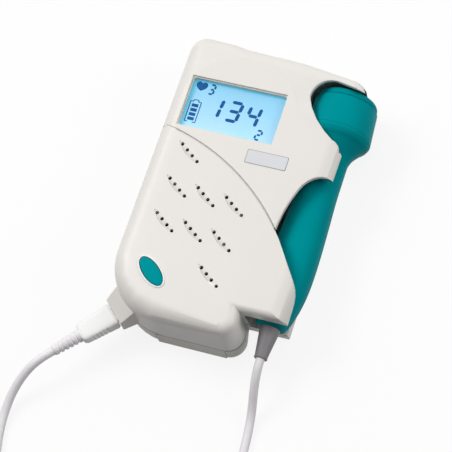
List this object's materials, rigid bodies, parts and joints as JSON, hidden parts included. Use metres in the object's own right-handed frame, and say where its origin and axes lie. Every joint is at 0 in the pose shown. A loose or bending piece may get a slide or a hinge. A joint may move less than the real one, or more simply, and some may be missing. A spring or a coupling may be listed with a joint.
{
  "type": "vascular doppler",
  "caption": "Pocket Doppler with display, loudspeaker and key, a wide-head probe clipped in its side holder and a coiled lead to the corner socket.",
  "frame": {"origin": "on the plane the back face lies on, under the middle of the object's bounding box, its lead and plug left out", "axes": "+Z out of the front face, +Y towards the display end, +X towards the probe holder"},
  "size_m": [0.1284, 0.263, 0.0345],
  "materials": {
    "shell": "satin off-white moulding",
    "shell_rear": "satin off-white moulding",
    "window": "clear hard-coated window",
    "lcd": "lit liquid-crystal panel",
    "diffuser": "white light guide",
    "black_plastic": "fine matt",
    "board": "solder mask",
    "chip": "moulded packages",
    "steel": "plated",
    "cone_paper": "pressed paper cone",
    "magnet": "plated magnet pot",
    "teal_key": "smooth teal key",
    "dark_wheel": "knurled wheel",
    "cell_wrap": "plain wrapped cell",
    "spring_steel": "bare spring steel",
    "teal_shell": "satin teal moulding",
    "lens_face": "smooth acoustic face",
    "piezo": "silvered ceramic discs",
    "boot_rubber": "soft grey strain relief",
    "cord": "light grey jacket",
    "plug_plastic": "near-white grip",
    "contact_gold": "gilt contacts"
  },
  "bodies": {
    "unit": {"front_upper": "shell", "front_lower": "shell", "rear_case": "shell_rear", "display_window": "window", "lcd_glass": "lcd", "backlight": "diffuser", "display_frame": "black_plastic", "main_board": "board", "board_chips": "chip", "speaker_frame": "steel", "speaker_cone": "cone_paper", "speaker_magnet": "magnet", "key_board": "board", "button_switch": "black_plastic", "volume_pot": "steel", "earphone_jack": "black_plastic", "probe_socket": "black_plastic", "battery_cells": "cell_wrap", "battery_contacts": "spring_steel", "case_screws": "steel", "probe_cord": "cord", "cord_coil": "cord"},
    "probe": {"handle_front": "teal_shell", "handle_back": "teal_shell", "head_cup": "teal_shell", "head_cap": "teal_shell", "probe_lens": "lens_face", "crystals": "piezo", "backing_disc": "chip", "probe_board": "board", "cord_boot": "boot_rubber"},
    "start_button": {"start_button": "teal_key"},
    "battery_door": {"battery_door": "shell_rear"},
    "volume_wheel": {"volume_wheel": "dark_wheel"},
    "plug": {"plug_grip": "plug_plastic", "plug_boot": "cord", "plug_shell": "steel", "plug_pins": "contact_gold", "plug_cord": "cord"}
  },
  "joints": [
    {"name": "probe_slide", "type": "slide", "parent": "unit", "child": "probe", "axis": [0.9976, -0.0698, 0], "range_m": [0, 0.06]},
    {"name": "start_press", "type": "slide", "parent": "unit", "child": "start_button", "axis": [0, 0, -1], "range_m": [0, 0.0008], "stiffness_N_per_m": 500, "springref_m": -0.0005},
    {"name": "battery_door_slide", "type": "slide", "parent": "unit", "child": "battery_door", "axis": [0, -1, 0], "range_m": [0, 0.03]},
    {"name": "volume_turn", "type": "hinge", "parent": "unit", "child": "volume_wheel", "pos_m": [-0.0402, 0.0404, 0.0169], "axis": [0, 0, 1], "range_deg": [-135, 135]},
    {"name": "plug_pull", "type": "slide", "parent": "unit", "child": "plug", "axis": [-0.682, -0.7314, 0], "range_m": [0, 0.01]}
  ]
}
